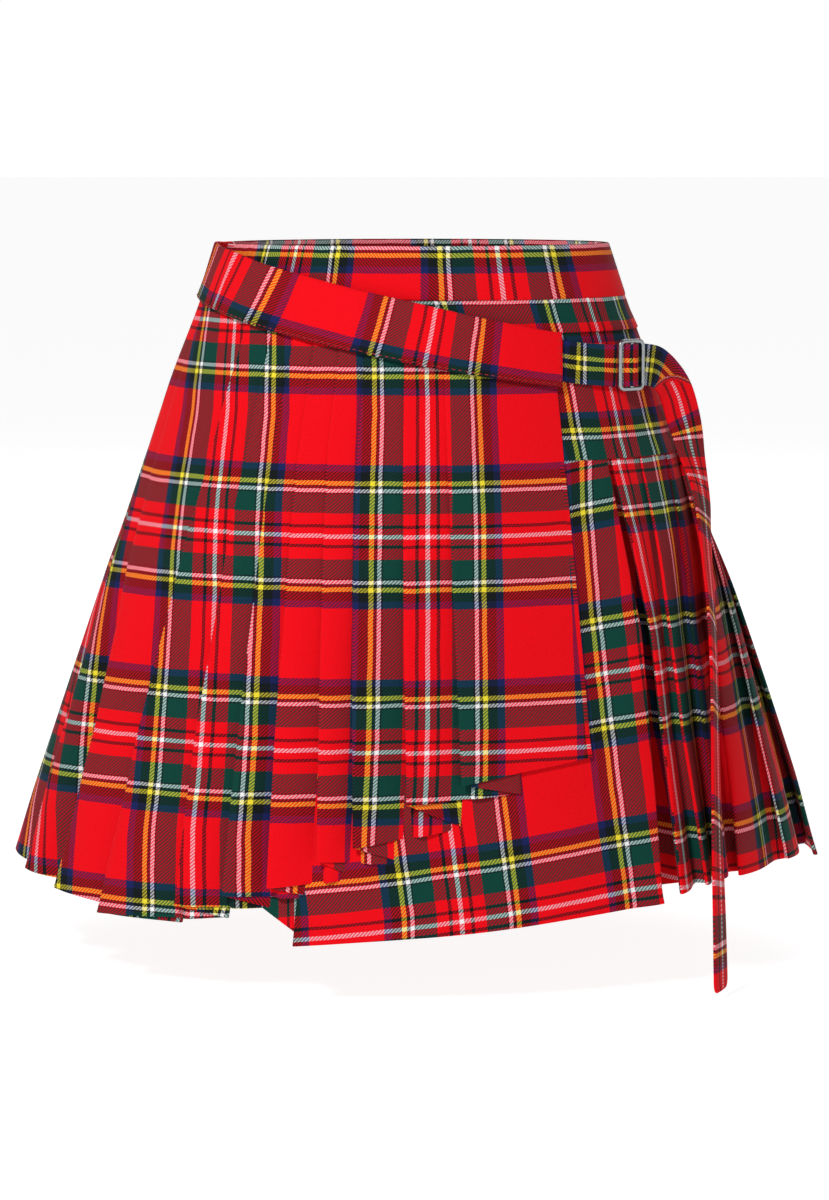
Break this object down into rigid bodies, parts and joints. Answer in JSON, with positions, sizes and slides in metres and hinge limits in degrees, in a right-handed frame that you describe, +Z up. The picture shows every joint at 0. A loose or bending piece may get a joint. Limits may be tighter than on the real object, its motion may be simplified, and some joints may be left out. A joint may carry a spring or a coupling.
{
  "type": "wrap skirt",
  "caption": "Short pleated tartan wrap skirt with an under apron, a sloping band and a strap through a slide buckle, filled out as if worn.",
  "frame": {"origin": "middle of the waist opening at half the height of the waistband", "axes": "+Z up through the waist, +X towards the wearer's left side, -Y towards the front"},
  "size_m": [0.4997, 0.3831, 0.4336],
  "materials": {
    "tartan_cloth": "matt twill",
    "buckle_steel": "brushed"
  },
  "bodies": {
    "root": {"waistband_front": "tartan_cloth", "waistband_back": "tartan_cloth", "hip_yoke_front": "tartan_cloth", "hip_yoke_back": "tartan_cloth", "under_apron": "tartan_cloth", "left_front_pleats": "tartan_cloth", "back_pleats_left": "tartan_cloth", "back_pleats_right": "tartan_cloth", "over_panel": "tartan_cloth", "over_band": "tartan_cloth", "strap": "tartan_cloth", "slide_buckle": "buckle_steel"}
  },
  "joints": []
}
